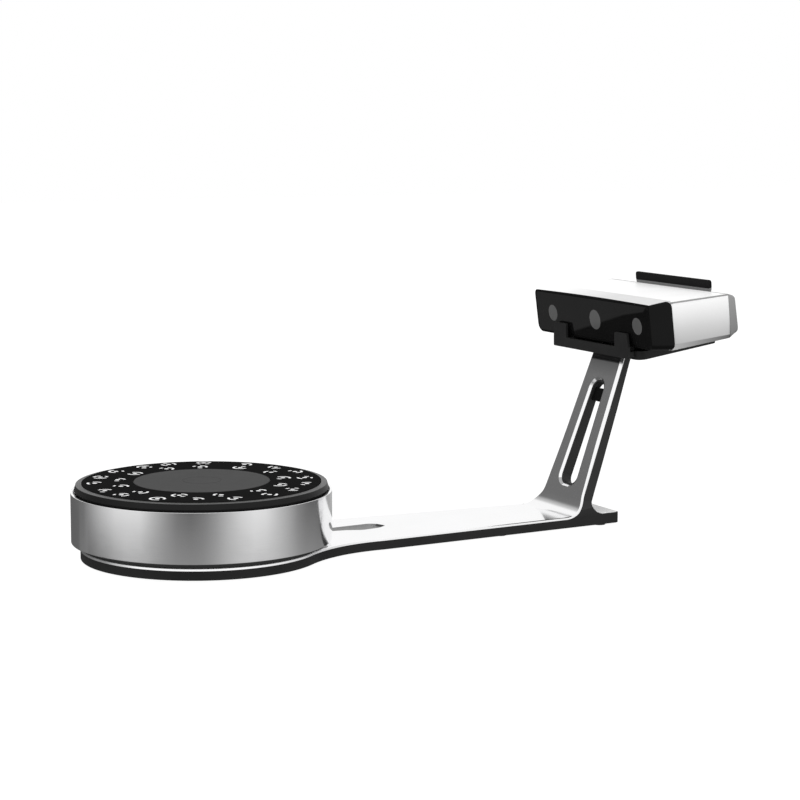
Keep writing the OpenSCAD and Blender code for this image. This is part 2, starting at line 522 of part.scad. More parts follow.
module head_screws() color([0.5, 0.5, 0.52]) hd() head_screw_at() difference() {
    union() { translate([0, 0, 0.3]) cylinder(r = 2.8, h = 0.6); translate([0, 0, 0.6]) cylinder(r = 1.5, h = 4.4); }
    translate([0, 0, -1]) cylinder(r = 1, h = 1.7, $fn = 6);
}

base_frame();
arm_cover();
tail_cover();
foot_pads();
ballast_plate();
base_screws();
riser_ring();
chassis_plate();
drum_ring();
bearing_housing();
bearing_lower();
bearing_upper();
drive_motor();
motor_mount();
motor_screws();
drive_board();
board_standoffs();
arm_harness();
link_socket();
spindle();
platter();
platter_screws();
marker_disc();
centre_pad();
drive_gear();
pinion();
motor_shaft();
cradle();
cradle_pads();
cradle_screws();
cable_clip();
head_shell();
head_lid();
head_bezel();
front_window();
window_side();
window_middle();
optical_bench();
camera_left();
camera_right();
lens_left();
lens_right();
projector();
projector_lens();
heat_sink();
fan_frame();
fan_rotor();
main_board();
rear_cap();
dc_jack();
data_ports();
button_switch();
power_button();
tripod_insert();
head_screws();
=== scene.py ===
"""Looks of the desktop 3D scanner with its turntable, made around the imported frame. Lengths in the tables are millimetres."""

import json
import math
import random

import bmesh
import bpy
from mathutils import Matrix, Vector


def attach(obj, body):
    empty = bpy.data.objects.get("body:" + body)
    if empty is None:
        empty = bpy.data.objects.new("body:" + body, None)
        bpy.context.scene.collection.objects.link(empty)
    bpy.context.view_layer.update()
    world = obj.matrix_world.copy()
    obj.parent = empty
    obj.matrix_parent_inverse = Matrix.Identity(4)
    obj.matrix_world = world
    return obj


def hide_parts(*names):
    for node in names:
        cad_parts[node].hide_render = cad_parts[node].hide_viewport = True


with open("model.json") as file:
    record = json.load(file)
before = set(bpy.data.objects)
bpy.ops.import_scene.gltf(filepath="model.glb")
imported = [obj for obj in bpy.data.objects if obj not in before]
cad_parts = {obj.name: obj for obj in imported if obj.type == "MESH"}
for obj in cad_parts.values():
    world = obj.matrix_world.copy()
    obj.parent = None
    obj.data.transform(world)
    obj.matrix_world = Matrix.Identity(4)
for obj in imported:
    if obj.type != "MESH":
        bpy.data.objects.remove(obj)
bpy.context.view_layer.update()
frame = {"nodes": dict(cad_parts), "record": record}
MM = 0.001
rad = math.radians
pi = math.pi

# ---------- dimensions, as in the CAD ----------
TX = -177.8
DRUM_R = 105.0
DRUM_Z0 = 15.0
DRUM_Z1 = 55.4
BASE_R = 97.7
BASE_TOP = 8.7
PLATE = 2.0
ZT = BASE_TOP + PLATE
FOOT = 1.2
ARM_W0 = 54.1
ARM_K = 0.051
NECK_R = 110.0
TAIL_X = 200.8
TAIL_TOP = 10.9
LEAN = 20.3
BEND_R = 20.0
SPINE = 7.35
UX = 158.6
TURN = 90 - LEAN
BX = UX - BEND_R * math.tan(rad(TURN / 2))
BZ = ZT + BEND_R
SLOT_W, SLOT_W1, SLOT_S0, SLOT_S1, SLOT_R = 13.0, 10.0, 23.5, 120.2, 9.0
PITCH = 4.5
FRONT_LEAN = 3.3
HX, HZ = 194.5, 157.7
HW = 90.7
HEAD_H = 40.0
RIM_W = 91.9
FLOOR_Z = -3.5
PAN_TILT = 2.49
EYE_Y, EYE_Z, EYE_DY = 67.9, 19.4, -2.6
SL, CL = math.sin(rad(LEAN)), math.cos(rad(LEAN))

T_TABLE = Matrix.Translation((TX, 0, 0))
T_UP = Matrix.Translation((UX, 0, ZT)) @ Matrix.Rotation(rad(LEAN), 4, "Y")
T_HD = Matrix.Translation((HX, 0, HZ)) @ Matrix.Rotation(rad(-PITCH), 4, "Y")
T_PAN = T_HD @ Matrix.Translation((1, 0, -11.5)) @ Matrix.Rotation(rad(-PAN_TILT), 4, "Y")
T_FRONT = T_HD @ Matrix.Rotation(rad(-FRONT_LEAN), 4, "Y")


def arm_w(x):
    return ARM_W0 - ARM_K * (x - TX)


def up_w(s):
    if s < 0:
        return 37 + 0.17 * -s
    k = min(1, s / 18)
    return 37 - 6.2 * k * k * (3 - 2 * k) if s < 18 else 30.8 - 0.0455 * (s - 18)


def up_w_soft(s):
    """The upright's half width, its kinks eased"""
    return sum(up_w(s + d) for d in (-3, -1.5, 0, 1.5, 3)) / 5


def fp(s, t):
    """Point at s along the upright's face, t behind it, as (x, z)"""
    return UX + SL * s + CL * t, ZT + CL * s - SL * t


def st(x, z):
    """The reverse of fp"""
    return SL * (x - UX) + CL * (z - ZT), CL * (x - UX) - SL * (z - ZT)


def half_w(x, z):
    """Half width of the base, arm and upright at a point of the side view"""
    k = min(1, max(0, (z - TAIL_TOP) / 7.0))
    k = k * k * (3 - 2 * k)
    return (1 - k) * arm_w(x) + k * up_w_soft(st(x, z)[0])


def under(x):
    """Underside of the head"""
    return 0.3 - 0.11 * x if x < 22 else -3 + 0.058 * (x - 22.6)


def crown(y, w=86.0):
    return max(0.0, 1 - (y / w) ** 2)


# ---------- outlines and meshes ----------
def arc(cx, cy, r, a0, a1, n):
    return [(cx + r * math.cos(rad(a0 + (a1 - a0) * i / n)), cy + r * math.sin(rad(a0 + (a1 - a0) * i / n))) for i in range(n + 1)]


def fillet(poly, n=6):
    """Outline whose corners (x, y, r) are rounded"""
    out = []
    for i, (x, y, r) in enumerate(poly):
        if r <= 0:
            out.append((x, y))
            continue
        p = Vector((x, y))
        a = (Vector(poly[i - 1][:2]) - p).normalized()
        b = (Vector(poly[(i + 1) % len(poly)][:2]) - p).normalized()
        ang = a.angle(b)
        c = p + (a + b).normalized() * (r / math.sin(ang / 2))
        s, e = p + a * (r / math.tan(ang / 2)), p + b * (r / math.tan(ang / 2))
        a0, a1 = math.atan2(s.y - c.y, s.x - c.x), math.atan2(e.y - c.y, e.x - c.x)
        while a1 - a0 > pi:
            a1 -= 2 * pi
        while a1 - a0 < -pi:
            a1 += 2 * pi
        out += [(c.x + r * math.cos(a0 + (a1 - a0) * k / n), c.y + r * math.sin(a0 + (a1 - a0) * k / n)) for k in range(n + 1)]
    return out


def rect(x0, y0, x1, y1, r=0.0, n=5):
    return fillet([(x0, y0, r), (x1, y0, r), (x1, y1, r), (x0, y1, r)], n)


def circle(x, y, r, n=32):
    return [(x + r * math.cos(2 * pi * i / n), y + r * math.sin(2 * pi * i / n)) for i in range(n)]


def miter(poly, i, closed=True):
    n = len(poly)
    p = Vector(poly[i])
    q0 = Vector(poly[i - 1]) if closed or i > 0 else None
    q2 = Vector(poly[(i + 1) % n]) if closed or i < n - 1 else None
    e1 = (p - q0).normalized() if q0 is not None else None
    e2 = (q2 - p).normalized() if q2 is not None else None
    e1 = e2 if e1 is None else e1
    e2 = e1 if e2 is None else e2
    n1, n2 = Vector((-e1.y, e1.x)), Vector((-e2.y, e2.x))
    m = n1 + n2
    return m / max(0.2, m.dot(n1))


def inset(poly, d, closed=True):
    """Counterclockwise outline moved inward by d"""
    return [tuple(Vector(p) + miter(poly, i, closed) * d) for i, p in enumerate(poly)]


def rings_mesh(rings, caps=True):
    """Skin over rings of equal length, closed at both ends"""
    n = len(rings[0])
    verts = [v for r in rings for v in r]
    faces = []
    for k in range(len(rings) - 1):
        for i in range(n):
            j = (i + 1) % n
            faces.append((k * n + i, k * n + j, (k + 1) * n + j, (k + 1) * n + i))
    if caps:
        faces.append(tuple(range(n - 1, -1, -1)))
        faces.append(tuple((len(rings) - 1) * n + i for i in range(n)))
    return verts, faces


def prism(poly, z0, z1, r0=0.0, r1=0.0, n=3):
    """Prism over an outline, its lower and upper edges rounded by r0 and r1"""
    rings = []
    low = [(pi / 2 * k / n) for k in range(n + 1)] if r0 > 0 else [pi / 2]
    for a in low:
        o = inset(poly, r0 * (1 - math.sin(a)))
        rings.append([(x, y, z0 + r0 * (1 - math.cos(a))) for x, y in o])
    high = [(pi / 2 * k / n) for k in range(n, -1, -1)] if r1 > 0 else [pi / 2]
    for a in high:
        o = inset(poly, r1 * (1 - math.sin(a)))
        rings.append([(x, y, z1 - r1 * (1 - math.cos(a))) for x, y in o])
    return rings_mesh(rings)


def lathe(profile, n=180):
    """Body turned from a closed profile of (r, z)"""
    verts, faces, ids = [], [], []
    for r, z in profile:
        if r < 1e-6:
            ids.append([len(verts)] * n)
            verts.append((0, 0, z))
        else:
            ids.append(list(range(len(verts), len(verts) + n)))
            verts += [(r * math.cos(2 * pi * i / n), r * math.sin(2 * pi * i / n), z) for i in range(n)]
    m = len(profile)
    for k in range(m):
        a, b = ids[k], ids[(k + 1) % m]
        for i in range(n):
            j = (i + 1) % n
            f = []
            for v in (a[i], a[j], b[j], b[i]):
                if v not in f:
                    f.append(v)
            if len(f) > 2:
                faces.append(tuple(f))
    return verts, faces


def soften(profile, r=0.3, n=3):
    """Profile with all its corners rounded by r"""
    return fillet([(x, y, 0 if x < 1e-6 else (p[2] if len(p) > 2 else r)) for p in profile for x, y in [p[:2]]], n)


def along_x(mesh):
    """Turns a mesh drawn over (y, z) outlines, with its height as x"""
    verts, faces = mesh
    return [(z, x, y) for x, y, z in verts], faces


def moved(mesh, m):
    verts, faces = mesh
    return [tuple(m @ Vector(v)) for v in verts], faces


def joined(*meshes):
    verts, faces = [], []
    for v, f in meshes:
        k = len(verts)
        verts += list(v)
        faces += [tuple(i + k for i in q) for q in f]
    return verts, faces


def raw(name, mesh):
    verts, faces = mesh
    me = bpy.data.meshes.new(name)
    me.from_pydata([(x * MM, y * MM, z * MM) for x, y, z in verts], [], faces)
    bm = bmesh.new()
    bm.from_mesh(me)
    bmesh.ops.recalc_face_normals(bm, faces=bm.faces)
    bm.to_mesh(me)
    bm.free()
    ob = bpy.data.objects.new(name, me)
    bpy.context.scene.collection.objects.link(ob)
    return ob


def bake(ob):
    """Puts the modifiers into the mesh"""
    bpy.context.view_layer.update()
    ev = ob.evaluated_get(bpy.context.evaluated_depsgraph_get())
    me = bpy.data.meshes.new_from_object(ev)
    ob.modifiers.clear()
    old = ob.data
    ob.data = me
    bpy.data.meshes.remove(old)


def boolean(ob, mesh, op="DIFFERENCE"):
    tool = raw("tool", mesh)
    m = ob.modifiers.new("b", "BOOLEAN")
    m.operation, m.solver, m.object = op, "EXACT", tool
    bake(ob)
    bpy.data.objects.remove(tool)


PIECES = []


def piece(name, mesh, body, mats, replaces=(), sharp=32, add=(), cut=(), bevel=0.0, where=None):
    """A finished piece: joined with add, cut by cut, its edges bevelled, smooth where it is smooth"""
    ob = raw(name, mesh)
    for m in add:
        boolean(ob, m, "UNION")
    for m in cut:
        boolean(ob, m)
    me = ob.data
    bm = bmesh.new()
    bm.from_mesh(me)
    bmesh.ops.remove_doubles(bm, verts=bm.verts, dist=2e-6)
    bmesh.ops.dissolve_degenerate(bm, dist=2e-6, edges=bm.edges)
    if add or cut:
        bmesh.ops.dissolve_limit(bm, angle_limit=rad(0.3), verts=bm.verts, edges=bm.edges)
    bm.to_mesh(me)
    bm.free()
    if bevel:
        m = ob.modifiers.new("v", "BEVEL")
        m.width, m.segments, m.limit_method, m.angle_limit = bevel * MM, 2, "ANGLE", rad(sharp + 8)
        m.use_clamp_overlap = True
        bake(ob)
    ob.data.shade_smooth()
    ob.data.set_sharp_from_angle(angle=rad(sharp))
    m = ob.modifiers.new("w", "WEIGHTED_NORMAL")
    m.keep_sharp, m.weight = True, 80
    bake(ob)
    mats = mats if isinstance(mats, (list, tuple)) else [mats]
    ob.data.materials.clear()
    for m in mats:
        ob.data.materials.append(m)
    if where:
        for p in ob.data.polygons:
            p.material_index = where(p.center / MM, p.normal)
    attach(ob, body)
    if replaces:
        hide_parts(*([replaces] if isinstance(replaces, str) else replaces))
    PIECES.append(ob)
    return ob


# ---------- materials ----------
def nodes_of(m):
    m.use_nodes = True
    nt = m.node_tree
    return nt, nt.nodes["Principled BSDF"]


def N(nt, kind, **kw):
    n = nt.nodes.new(kind)
    for k, v in kw.items():
        if k.startswith("i_"):
            n.inputs[k[2:].replace("_", " ")].default_value = v
        else:
            setattr(n, k, v)
    return n


def grain(nt, stretch=(1, 1, 1), scale=900.0, detail=4.0, rough=0.55):
    tc = N(nt, "ShaderNodeTexCoord")
    mp = N(nt, "ShaderNodeMapping")
    mp.inputs["Scale"].default_value = stretch
    nt.links.new(tc.outputs["Object"], mp.inputs["Vector"])
    no = N(nt, "ShaderNodeTexNoise")
    no.inputs["Scale"].default_value = scale
    no.inputs["Detail"].default_value = detail
    no.inputs["Roughness"].default_value = rough
    nt.links.new(mp.outputs["Vector"], no.inputs["Vector"])
    return no.outputs["Fac"]


def spread(nt, fac, lo, hi, a=0.3, b=0.7):
    mr = N(nt, "ShaderNodeMapRange")
    mr.inputs["From Min"].default_value = a
    mr.inputs["From Max"].default_value = b
    mr.inputs["To Min"].default_value = lo
    mr.inputs["To Max"].default_value = hi
    nt.links.new(fac, mr.inputs["Value"])
    return mr.outputs["Result"]


def tint(nt, fac, c0, c1):
    mx = N(nt, "ShaderNodeMix", data_type="RGBA")
    mx.inputs["A"].default_value = (*c0, 1)
    mx.inputs["B"].default_value = (*c1, 1)
    nt.links.new(fac, mx.inputs["Factor"])
    return mx.outputs["Result"]


def grey(v, warm=0.0):
    return (v * (1 + warm), v, v * (1 - warm))


def material(name, base, rough, metal=0.0, vary=0.12, rvary=0.15, scale=900.0, stretch=(1, 1, 1), bump=0.03, depth=0.00004,
             ior=1.5, spec=0.5, coat=0.0, coat_rough=0.05, patch=30.0, aniso=0.0):
    """A surface whose colour, gloss and relief vary: a fine grain, and broad soft patches"""
    m = bpy.data.materials.new(name)
    nt, b = nodes_of(m)
    b.inputs["Metallic"].default_value = metal
    b.inputs["IOR"].default_value = ior
    b.inputs["Specular IOR Level"].default_value = spec
    b.inputs["Coat Weight"].default_value = coat
    b.inputs["Coat Roughness"].default_value = coat_rough
    b.inputs["Anisotropic"].default_value = aniso
    fine = grain(nt, stretch, scale)
    broad = grain(nt, (1, 1, 1), patch, 2.0)
    base = base if isinstance(base, tuple) else grey(base)
    lo = tuple(c * (1 - vary) for c in base)
    hi = tuple(min(1, c * (1 + vary)) for c in base)
    add = N(nt, "ShaderNodeMath", operation="ADD")
    mul = N(nt, "ShaderNodeMath", operation="MULTIPLY")
    mul.inputs[1].default_value = 0.5
    nt.links.new(fine, add.inputs[0])
    nt.links.new(broad, add.inputs[1])
    nt.links.new(add.outputs[0], mul.inputs[0])
    nt.links.new(tint(nt, spread(nt, mul.outputs[0], 0, 1, 0.35, 0.65), lo, hi), b.inputs["Base Color"])
    nt.links.new(spread(nt, mul.outputs[0], rough * (1 - rvary), rough * (1 + rvary), 0.35, 0.65), b.inputs["Roughness"])
    if bump:
        bu = N(nt, "ShaderNodeBump")
        bu.inputs["Strength"].default_value = bump
        bu.inputs["Distance"].default_value = depth
        nt.links.new(fine, bu.inputs["Height"])
        nt.links.new(bu.outputs["Normal"], b.inputs["Normal"])
    return m


M = {}
M["black_body"] = material("black_body", 0.0125, 0.40, vary=0.2, scale=1500, bump=0.12, spec=0.18)
M["bright_aluminium"] = material("bright_aluminium", (0.93, 0.93, 0.935), 0.10, metal=1.0, vary=0.02, rvary=0.3, scale=260, stretch=(1, 14, 14), bump=0.02)
M["cut_edge"] = material("cut_edge", (0.97, 0.97, 0.975), 0.16, metal=1.0, vary=0.015, rvary=0.3, scale=300, stretch=(1, 10, 10), bump=0.02)
M["drum_aluminium"] = material("drum_aluminium", (0.91, 0.91, 0.915), 0.11, metal=1.0, vary=0.035, rvary=0.25, scale=60, stretch=(1, 1, 90), bump=0.02, aniso=0.0)
M["black_platter"] = material("black_platter", 0.009, 0.33, vary=0.2, scale=900, stretch=(1, 1, 6), bump=0.05, spec=0.12)
M["platter_bevel"] = material("platter_bevel", 0.035, 0.40, vary=0.12, scale=900, bump=0.05, spec=0.25)
M["marker_film"] = material("marker_film", 0.009, 0.62, vary=0.2, scale=2200, bump=0.06, spec=0.02, ior=1.05)
M["mark_white"] = material("mark_white", 0.80, 0.55, vary=0.05, scale=1800, bump=0.04, spec=0.2)
M["rubber"] = material("rubber", 0.012, 0.7, vary=0.25, scale=2600, bump=0.3, depth=0.00008)
M["pad_rubber"] = material("pad_rubber", 0.058, 0.75, vary=0.08, scale=2400, bump=0.22, depth=0.00008, spec=0.04)
M["head_white"] = material("head_white", 0.86, 0.34, vary=0.02, scale=700, bump=0.015, spec=0.35)
M["head_silver"] = material("head_silver", 0.60, 0.3, metal=0.0, vary=0.03, scale=1400, bump=0.03)
M["head_shell"] = material("head_shell", 0.97, 0.30, metal=0.5, vary=0.015, rvary=0.04, scale=900, bump=0.0)
M["head_under"] = material("head_under", 0.55, 0.36, metal=0.4, vary=0.03, rvary=0.05, scale=1200, bump=0.0)
M["strip_silver"] = material("strip_silver", 0.78, 0.5, vary=0.015, rvary=0.05, scale=1400, bump=0.0, spec=0.2)
M["seam_grey"] = material("seam_grey", 0.29, 0.5, vary=0.05, scale=1600, bump=0.02, spec=0.1)
M["rail_black"] = material("rail_black", 0.006, 0.45, vary=0.2, scale=1500, bump=0.1, spec=0.06)
M["spine_black"] = material("spine_black", 0.023, 0.42, vary=0.15, scale=1500, bump=0.12, spec=0.18)
M["clip_black"] = material("clip_black", 0.0035, 0.5, vary=0.2, scale=1500, bump=0.1, spec=0.06)
# painted reflection: grey for the rail's lower band and underside, standing in for the white lid mirrored in the black
# rail
M["rail_painted_reflection"] = material("rail_painted_reflection", 0.21, 0.4, vary=0.06, scale=1600, bump=0.05, spec=0.3)
M["groove_grey"] = material("groove_grey", (0.42, 0.42, 0.425), 0.3, metal=0.8, vary=0.06, scale=400, stretch=(1, 8, 8), bump=0.05)
M["groove_dark"] = material("groove_dark", 0.15, 0.4, metal=0.5, vary=0.06, scale=400, stretch=(1, 8, 8), bump=0.05, spec=0.2)
M["head_grey"] = material("head_grey", 0.26, 0.42, vary=0.06, scale=1600, bump=0.08)
M["gloss_black"] = material("gloss_black", 0.0035, 0.20, vary=0.2, scale=900, bump=0.01, spec=0.10)
M["dark_glass"] = material("dark_glass", 0.0035, 0.008, vary=0.2, scale=300, bump=0.0, spec=0.5)
M["window_glass"] = material("window_glass", 0.085, 0.03, vary=0.06, scale=1200, bump=0.0, spec=0.5)
M["steel"] = material("steel", 0.55, 0.28, metal=1.0, vary=0.08, scale=1200, stretch=(1, 1, 5))
M["dark_steel"] = material("dark_steel", 0.16, 0.36, metal=1.0, vary=0.12, scale=1200)
M["cast_alu"] = material("cast_alu", 0.55, 0.48, metal=1.0, vary=0.08, scale=1500, bump=0.25, depth=0.00008)
M["brass"] = material("brass", (0.75, 0.55, 0.24), 0.3, metal=1.0, vary=0.06, scale=1200)
M["gear_nylon"] = material("gear_nylon", (0.80, 0.77, 0.66), 0.5, vary=0.05, scale=1500, bump=0.08)
M["board_green"] = material("board_green", (0.012, 0.10, 0.05), 0.4, vary=0.3, scale=700, bump=0.12)
M["black_inner"] = material("black_inner", 0.018, 0.6, vary=0.25, scale=1800, bump=0.15)



def paint_light_and_shade(m, axis, at, a, b, fa, fb):
    """Paints light and shade into a material's colour: scales it by fa to fb between a and b mm from the point at,
    along axis
    """
    nt, bs = nodes_of(m)
    tc = N(nt, "ShaderNodeTexCoord")
    d = N(nt, "ShaderNodeVectorMath", operation="DOT_PRODUCT")
    nt.links.new(tc.outputs["Object"], d.inputs[0])
    d.inputs[1].default_value = axis
    o = Vector(at).dot(axis)
    f = spread(nt, d.outputs["Value"], fa, fb, (o + a) * MM, (o + b) * MM)
    sc = N(nt, "ShaderNodeVectorMath", operation="SCALE")
    nt.links.new(bs.inputs["Base Color"].links[0].from_socket, sc.inputs[0])
    nt.links.new(f, sc.inputs["Scale"])
    nt.links.new(sc.outputs[0], bs.inputs["Base Color"])


HD_AT = T_HD @ Vector((0, 0, 0))
HD_UP = T_HD.to_3x3() @ Vector((0, 0, 1))
HD_X = T_HD.to_3x3() @ Vector((1, 0, 0))
# painted shade: the head shell's colour darkens towards its lower edge, scaled from 1.03 at the top to 0.57 near the
# bottom
paint_light_and_shade(M["head_shell"], HD_UP, HD_AT, 2, 36, 0.57, 1.03)
# painted light and shade: the head underside's colour is brightened at the front (1.15) and darkened towards the rear
# (0.36)
paint_light_and_shade(M["head_under"], HD_X, HD_AT, 22, 81, 1.15, 0.36)
# painted shade: the rear cap's colour darkens towards its lower edge
paint_light_and_shade(M["head_grey"], HD_UP, HD_AT, 2, 34, 0.62, 1.0)
# painted reflection: the lid strip's colour is lighter towards +y and darker towards -y
paint_light_and_shade(M["strip_silver"], Vector((0, 1, 0)), Vector((0, 0, 0)), -20, 90, 0.80, 1.18)
# painted shade: the bright aluminium darkens from 126 to 150 mm up, where the upright's face runs under the cradle
paint_light_and_shade(M["bright_aluminium"], Vector((0, 0, 1)), Vector((0, 0, 0)), 126, 150, 1.0, 0.35)

SLOT_OF = {s["node"]: s["material_slot"] for s in frame["record"]["subparts"] if s.get("material_slot")}
for name, ob in frame["nodes"].items():
    ob.data.materials.clear()
    ob.data.materials.append(M[SLOT_OF[name]])

# ---------- base, arm and upright ----------
nd = ARM_W0 / math.hypot(1, ARM_K)
nn = Vector((ARM_K, 1)).normalized()
ntg = Vector((1, -ARM_K)).normalized()
nr = BASE_R + NECK_R
nc = nn * (nd + NECK_R) + ntg * math.sqrt(nr * nr - (nd + NECK_R) ** 2)
a_c = math.degrees(math.atan2(nc.y, nc.x))
a_k = math.degrees(math.atan2(1, ARM_K))


def half_outline(end, n=72):
    """Upper half of the plan, from the arm's end round to the far left"""
    pts = [(x + TX, y) for x, y in arc(0, 0, BASE_R, 180, a_c, n)[:-1] + arc(nc.x, nc.y, NECK_R, a_c - 180, -a_k, 26)]
    return pts + end


def full(half):
    up = half[::-1]
    return up + [(x, -y) for x, y in half[1:]]


tail_half = [(x + TX, y) for x, y in arc(TAIL_X - TX - 4, arm_w(TAIL_X - 4) - 4, 4, a_k, 0, 8)]
plan = full(half_outline(tail_half))
c0 = Vector(plan[0])

# edge of the cover: draft of the side, depth and width of the bevel; it grows up the upright
E_DR, E_D, E_W, LINE = 0.35, 0.5, 1.0, 2.2


def edge(s):
    k = min(1, max(0, (s - 14) / 56))
    k = k * k * (3 - 2 * k)
    return E_DR * (1 - k), E_D + (1.65 - E_D) * k, E_W + (2.7 - E_W) * k


b_ring = full(half_outline([(BX, arm_w(BX))]))


def ring_in(d):
    r = inset(b_ring, d, closed=False)
    r[0], r[-1] = (BX, arm_w(BX) - d), (BX, -arm_w(BX) + d)
    return r


m_ring, t_ring, u_ring, line_ring = ring_in(E_DR), ring_in(E_W), ring_in(E_W + LINE), ring_in(E_W + LINE / 2)
nb = len(b_ring)
verts = [(x, y, BASE_TOP) for x, y in b_ring] + [(x, y, ZT - E_D) for x, y in m_ring] + [(x, y, ZT - 0.03) for x, y in t_ring] + [(x, y, ZT) for x, y in u_ring]
faces = []
for i in range(nb - 1):
    for k in range(0, 3 * nb, nb):
        faces.append((k + i, k + i + 1, k + nb + i + 1, k + nb + i))
faces.append(tuple(range(nb)))
faces.append(tuple(range(3 * nb, 4 * nb)))
# the strip's stations: bottom, edge and top points of both sides
prev = [0, nb, 2 * nb, 3 * nb, 4 * nb - 1, 3 * nb - 1, 2 * nb - 1, nb - 1]
stations = []
NB = 26
for k in range(1, NB + 1):
    a = rad(-90 + (90 - LEAN) * k / NB)
    e = edge(BEND_R * rad(90 - LEAN) * k / NB * 0.5)
    stations.append(([(BX + r * math.cos(a), BZ + r * math.sin(a)) for r in (BEND_R + PLATE, BEND_R + e[1], BEND_R)], e))
s_bend = BEND_R * math.tan(rad(TURN / 2))
for s in [16, 19, 22] + list(range(30, 176, 8)):
    if s > s_bend + 1:
        e = edge(s)
        stations.append(([fp(s, PLATE), fp(s, e[1]), fp(s, 0)], e))
pan_inv = T_PAN.inverted()
for sec, e in stations:
    w = half_w(*sec[2])
    dip = Vector(sec[0]) - Vector(sec[2])
    low = tuple(Vector(sec[2]) + dip.normalized() * 0.03)
    half = [(sec[0], w), (sec[1], w - e[0]), (low, w - e[2]), (sec[2], w - e[2] - LINE)]
    ring = half + [(p, -y) for p, y in half[::-1]]
    k = len(verts)
    verts += [(p[0], y, p[1]) for p, y in ring]
    cur = list(range(k, k + 8))
    for i in range(8):
        j = (i + 1) % 8
        faces.append((prev[i], prev[j], cur[j], cur[i]))
    prev = cur
faces.append(tuple(prev))


def slot_tool(g, flare, t0=-0.6, t1=22.0):
    """Cutter for the upright's slot, flared at the front"""
    a = math.degrees(math.atan((SLOT_W - SLOT_W1) / (SLOT_S1 - SLOT_S0 - 2 * SLOT_R)))
    h = arc(SLOT_S0 + SLOT_R, SLOT_W - SLOT_R, SLOT_R - g, 180, 90 - a, 12) + arc(SLOT_S1 - SLOT_R, SLOT_W1 - SLOT_R, SLOT_R - g, 90 - a, 0, 12)
    o = [(x, -y) for x, y in h] + h[::-1]
    rings = []
    for t, d in ((t0, -flare * (1 - t0 / flare) if flare else 0), (flare, 0), (t1, 0)):
        rings.append([(t, y, s) for s, y in inset(o, d)])
    return moved(rings_mesh(rings), T_UP)


def above_pan():
    return moved(prism(rect(-80, -90, 130, 90), 0, 140), T_PAN)


# the shallow ramp beside the drum, deeper towards its round end
g_plan = fillet([(-92, 4.5, 0), (-48.6, -2.4, 20), (-36.3, -7.6, 12), (-19.8, -4.8, 8), (-10.5, 1.4, 3), (-15.9, 16.0, 8), (-40.3, 14.5, 20), (-92, 10.1, 0)], 8)


def groove(d):
    o = inset(g_plan, -d)
    return [(x, y, ZT + 2.0) for x, y in inset(g_plan, -d - 2.0)], [(x, y, ZT - 0.25 - 1.2 * min(1, max(0, (x + 92) / 70))) for x, y in o]


g_top, g_low = groove(0.0)
groove_tool = rings_mesh([g_low, [(x, y, ZT - 0.15) for x, y, _ in g_low], g_top])


def on_line(x, y):
    """Whether a point of the top lies in the fine line along its edge"""
    p = Vector((x, y))
    for a, b in zip(line_ring, line_ring[1:]):
        a, b = Vector(a), Vector(b)
        k = min(1, max(0, (p - a).dot(b - a) / max(1e-9, (b - a).length_squared)))
        if (a + (b - a) * k - p).length < LINE * 0.4:
            return True
    return False


def cover_face(c, n):
    s, t = st(c.x, c.z)
    if c.z > ZT - 0.035 and n.z > 0.9:
        return 3 if on_line(c.x, c.y) else 0
    if SLOT_S0 - 3 < s < SLOT_S0 + 4.5 and abs(c.y) < SLOT_W + 1 and 0.05 < t < PLATE - 0.05:
        return 2
    if abs(t) < 0.05 or (c.x > BX - 1 and math.hypot(c.x - BX, c.z - BZ) < BEND_R + 0.3 and s < s_bend + 1):
        return 0
    if -95 < c.x < -12 and -6 < c.y < 12 and c.z > BASE_TOP + 0.2 and c.z < ZT + 0.1:
        return 3
    return 1


cover = piece("arm_cover_look", (verts, faces), "base", [M["bright_aluminium"], M["cut_edge"], M["groove_grey"], M["groove_dark"]], replaces="arm_cover",
              cut=[above_pan(), slot_tool(0, 1.9), groove_tool, moved(prism(circle(0, 0, 43, 96), 2, 30), T_TABLE)],
              where=cover_face, sharp=24)

# black base with the spine of the upright
back_t = PLATE + 9.0
back_s = (TAIL_TOP - ZT + SL * back_t) / CL
back_r = 8.0
back_l = back_r / math.tan(rad(TURN / 2))
bxy = fp(back_s, back_t)
BACK_X = bxy[0] + back_l
front_pts = [(BX + (BEND_R + PLATE) * math.cos(rad(a)), BZ + (BEND_R + PLATE) * math.sin(rad(a))) for a in [-90 + (90 - LEAN) * k / NB for k in range(NB + 1)]]
back_pts = [(bxy[0] + back_l + back_r * math.cos(rad(a)), bxy[1] + back_r + back_r * math.sin(rad(a))) for a in [270 - (90 + LEAN) * k / NB for k in range(NB + 1)]]


def spine_t(s):
    """Thickness of the spine, thinner towards its top"""
    tab = ((24, 9.0), (45, 8.7), (61, 8.4), (95, 7.6), (132, 6.2), (180, 5.0))
    for (a, p), (b, q) in zip(tab, tab[1:]):
        if s <= b:
            return p + (q - p) * (s - a) / (b - a)
    return tab[-1][1]


